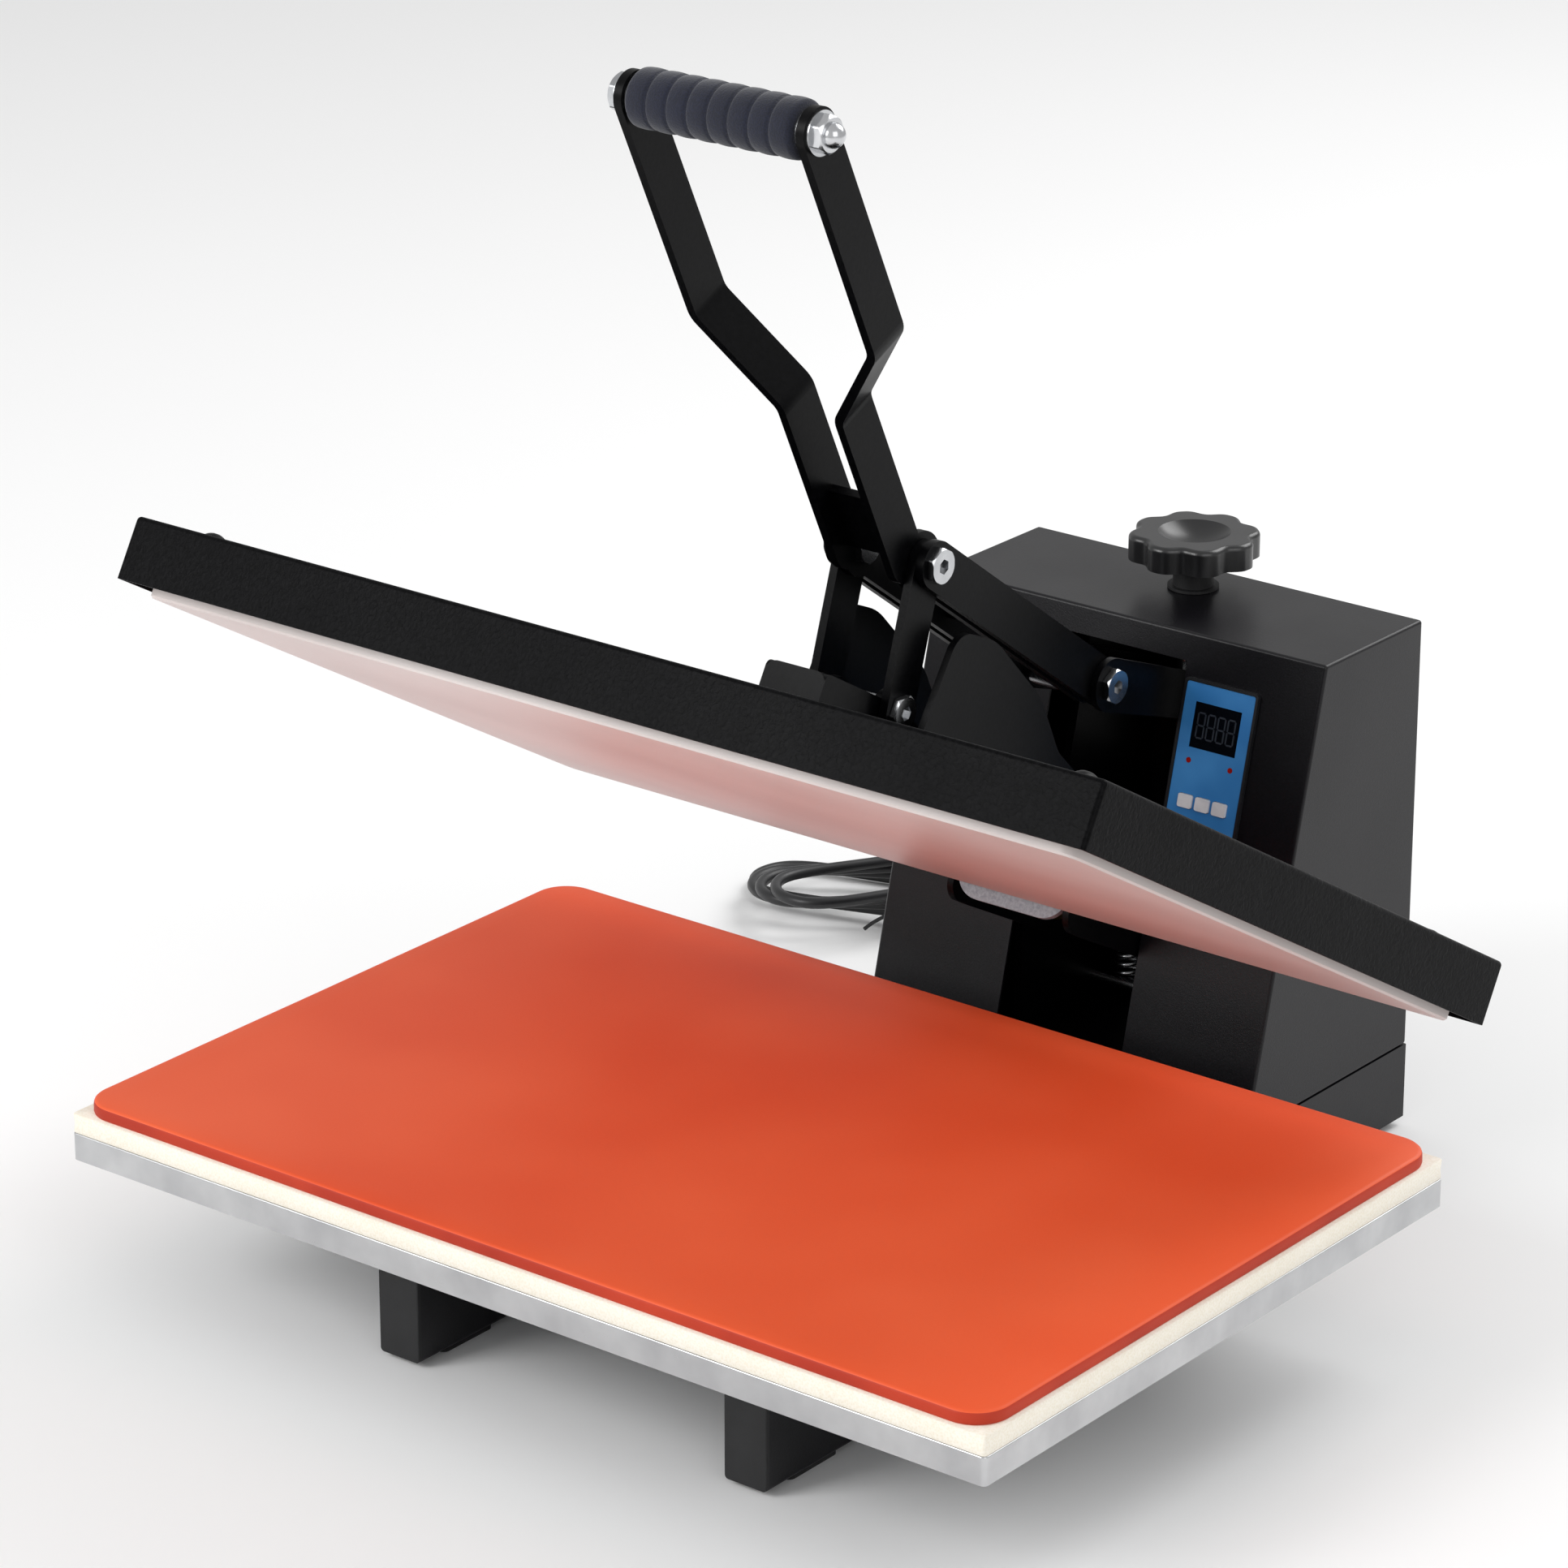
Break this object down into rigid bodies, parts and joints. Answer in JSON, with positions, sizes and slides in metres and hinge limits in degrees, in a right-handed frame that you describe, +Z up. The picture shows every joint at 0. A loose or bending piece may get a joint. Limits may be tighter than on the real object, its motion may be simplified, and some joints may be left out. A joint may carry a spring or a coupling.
{
  "type": "clamshell heat press",
  "caption": "Clamshell heat press with a flat padded bed, hinged hot platen, toggle lever, knob, control tower and mains cord.",
  "frame": {"origin": "under the middle of the whole press, on the ground", "axes": "+Z up, +X across the bed, +Y from the user to the control tower"},
  "size_m": [0.6851, 0.7735, 0.6785],
  "materials": {
    "powder_black": "fine wrinkle powder coat",
    "powder_satin": "satin powder coat",
    "plate_grey": "pale satin paint",
    "steel_black": "satin black paint on cut steel plate",
    "steel_zinc": "bright zinc plate",
    "tray_alloy": "polished edge",
    "heater_alloy": "satin non-stick coat",
    "silicone_orange": "satin moulded silicone",
    "sponge_cream": "open-cell silicone sponge",
    "foam_navy": "ribbed foam",
    "knob_black": "moulded",
    "rubber_black": "moulded",
    "cord_black": "satin extruded sheath",
    "panel_blue": "printed overlay",
    "panel_black": "moulded",
    "display_dark": "smoked window",
    "led_lens": "clear moulded",
    "button_white": "moulded",
    "coil_copper": "wound wire and terminals",
    "board_green": "lacquered board",
    "wool_grey": "pressed mineral wool"
  },
  "bodies": {
    "base": {"base_rails": "powder_black", "rail_end_caps": "rubber_black", "rubber_feet": "rubber_black", "cross_beams": "powder_black", "lower_tray": "tray_alloy", "tray_bolts": "steel_zinc", "sponge_layer": "sponge_cream", "silicone_pad": "silicone_orange", "tower_shell": "powder_satin", "tower_skirt": "powder_satin", "mast_frame": "steel_black", "main_hinge_pin": "steel_zinc", "rear_cover": "powder_satin", "power_switch_body": "panel_black", "fuse_holder": "knob_black", "rear_screws": "steel_zinc", "panel_bezel": "panel_black", "panel_face": "panel_blue", "display_window": "display_dark", "status_leds": "led_lens", "control_board": "board_green", "transformer": "coil_copper", "relay_block": "panel_black", "terminal_block": "panel_black", "open_stops": "rubber_black", "spring_anchor": "steel_zinc", "return_springs": "steel_zinc", "knob_collar": "rubber_black", "cable_gland": "knob_black", "strain_relief": "rubber_black", "power_cord": "cord_black", "cord_hank": "cord_black", "cord_plug": "rubber_black"},
    "rocker": {"power_rocker": "knob_black"},
    "button_left": {"button_left": "button_white"},
    "button_middle": {"button_middle": "button_white"},
    "button_right": {"button_right": "button_white"},
    "knob": {"pressure_screw": "steel_zinc", "pressure_knob": "knob_black"},
    "hanger": {"pressure_hanger": "steel_black", "lever_pivot_bolt": "steel_zinc", "pivot_spacers": "steel_zinc"},
    "lever": {"lever_bars": "steel_black", "lever_links": "steel_black", "lever_web": "plate_grey", "knee_bolts": "steel_zinc", "grip_tube": "steel_zinc", "grip_bolt": "steel_zinc", "foam_grip": "foam_navy"},
    "legs": {"toggle_legs": "steel_black"},
    "platen": {"platen_cover": "powder_black", "cover_bolts": "steel_zinc", "heater_plate": "heater_alloy", "heating_element": "coil_copper", "heater_insulation": "wool_grey", "arm_bracket": "steel_black", "arm_side_plates": "steel_black", "arm_rear_parts": "plate_grey", "hinge_bushes": "coil_copper", "leg_pivot_bolt": "steel_zinc"}
  },
  "joints": [
    {"name": "platen_close", "type": "hinge", "parent": "base", "child": "platen", "pos_m": [0, 0.2026, 0.131], "axis": [1, 0, 0], "range_deg": [0, 30.26], "stiffness_Nm_per_rad": 110, "springref_deg": -35.52, "deforming": ["return_springs"]},
    {"name": "knob_turn", "type": "hinge", "parent": "base", "child": "knob", "pos_m": [0, 0.277, 0.3], "axis": [0, 0, 1], "range_deg": [-1104, 1104]},
    {"name": "hanger_slide", "type": "slide", "parent": "base", "child": "hanger", "axis": [0, 0, 1], "range_m": [-0.0045, 0.0045]},
    {"name": "lever_pull", "type": "hinge", "parent": "hanger", "child": "lever", "pos_m": [0, 0.1477, 0.291], "axis": [1, 0, 0], "range_deg": [0, 59.8]},
    {"name": "leg_swing", "type": "hinge", "parent": "platen", "child": "legs", "pos_m": [0, -0.02897, 0.32503], "axis": [1, 0, 0], "range_deg": [-78.26, 0]},
    {"name": "switch_rock", "type": "hinge", "parent": "base", "child": "rocker", "pos_m": [0.095, 0.306, 0.085], "axis": [1, 0, 0], "range_deg": [0, 18]},
    {"name": "press_left", "type": "slide", "parent": "base", "child": "button_left", "axis": [0, 0.9691, -0.2466], "range_m": [0, 0.0007], "stiffness_N_per_m": 400, "springref_m": -0.0008},
    {"name": "press_middle", "type": "slide", "parent": "base", "child": "button_middle", "axis": [0, 0.9691, -0.2466], "range_m": [0, 0.0007], "stiffness_N_per_m": 400, "springref_m": -0.0008},
    {"name": "press_right", "type": "slide", "parent": "base", "child": "button_right", "axis": [0, 0.9691, -0.2466], "range_m": [0, 0.0007], "stiffness_N_per_m": 400, "springref_m": -0.0008}
  ],
  "couplings": [
    {"joint": "knob_turn", "follows": "hanger_slide", "rad_per_m": 4188.8},
    {"joint": "lever_pull", "follows": "platen_close", "ratio": 1.9746},
    {"joint": "leg_swing", "follows": "platen_close", "ratio": -2.5847}
  ]
}
